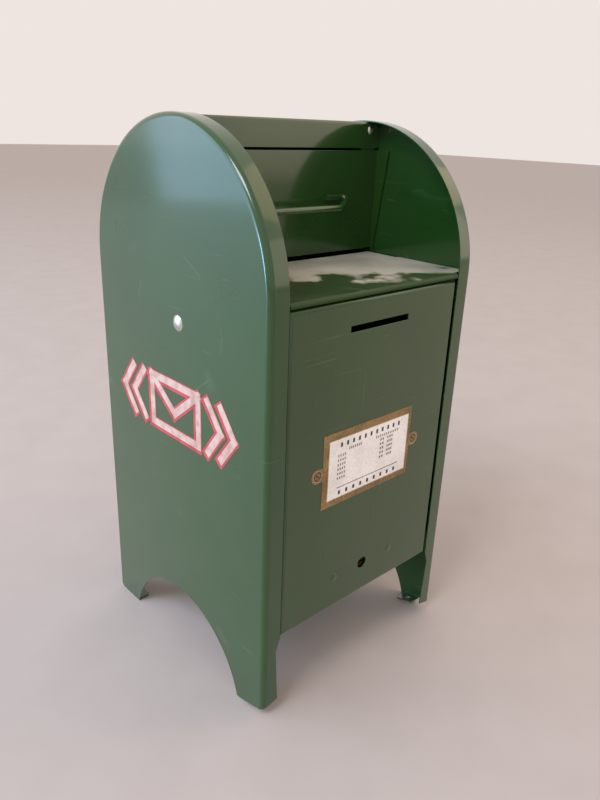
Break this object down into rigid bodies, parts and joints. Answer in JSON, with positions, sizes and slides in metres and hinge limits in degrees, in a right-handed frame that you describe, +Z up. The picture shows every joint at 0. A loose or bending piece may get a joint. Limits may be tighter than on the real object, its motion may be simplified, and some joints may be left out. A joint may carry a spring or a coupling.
{
  "type": "mailbox coin bank",
  "caption": "Small enamelled tinplate coin bank shaped like a street mailbox: half-round top, open shelf, hopper door with wire pull, hinged front door with coin slot and lock, arched legs.",
  "frame": {"origin": "on the floor under the centre of the body", "axes": "+Z up, -Y towards the front door, +X to the right seen from the front"},
  "size_m": [0.1144, 0.118, 0.235],
  "materials": {
    "green_enamel": "gloss enamel",
    "printed_label": "printed, satin",
    "plain_steel": "bare tinplate",
    "nickel_rivets": "nickel plated",
    "lock_brass": "bare"
  },
  "bodies": {
    "shell": {"left_side_panel": "green_enamel", "right_side_panel": "green_enamel", "roof_back_cover": "green_enamel", "shelf": "green_enamel", "base_plate": "green_enamel", "door_hinge_wire": "plain_steel", "hinge_cups": "plain_steel", "pivot_rivets": "nickel_rivets", "pivot_washers": "plain_steel", "roof_corner_lugs": "green_enamel", "roof_rivets": "nickel_rivets"},
    "collection_door": {"front_door": "green_enamel", "label_plate": "printed_label", "lock_bracket": "plain_steel", "lock_rivets": "green_enamel", "lock_case": "plain_steel"},
    "lock": {"lock_barrel": "lock_brass", "lock_cam": "plain_steel", "lock_nut": "lock_brass"},
    "hopper": {"mail_door": "green_enamel", "mail_door_handle": "green_enamel"}
  },
  "joints": [
    {"name": "front_door_hinge", "type": "hinge", "parent": "shell", "child": "collection_door", "pos_m": [0, -0.0534, 0.1675], "axis": [-1, 0, 0], "range_deg": [0, 80]},
    {"name": "lock_turn", "type": "hinge", "parent": "collection_door", "child": "lock", "pos_m": [0, -0.05, 0.0534], "axis": [0, 1, 0], "range_deg": [0, 90]},
    {"name": "mail_door_hinge", "type": "hinge", "parent": "shell", "child": "hopper", "pos_m": [0, -0.0037, 0.159], "axis": [1, 0, 0], "range_deg": [0, 28]}
  ]
}
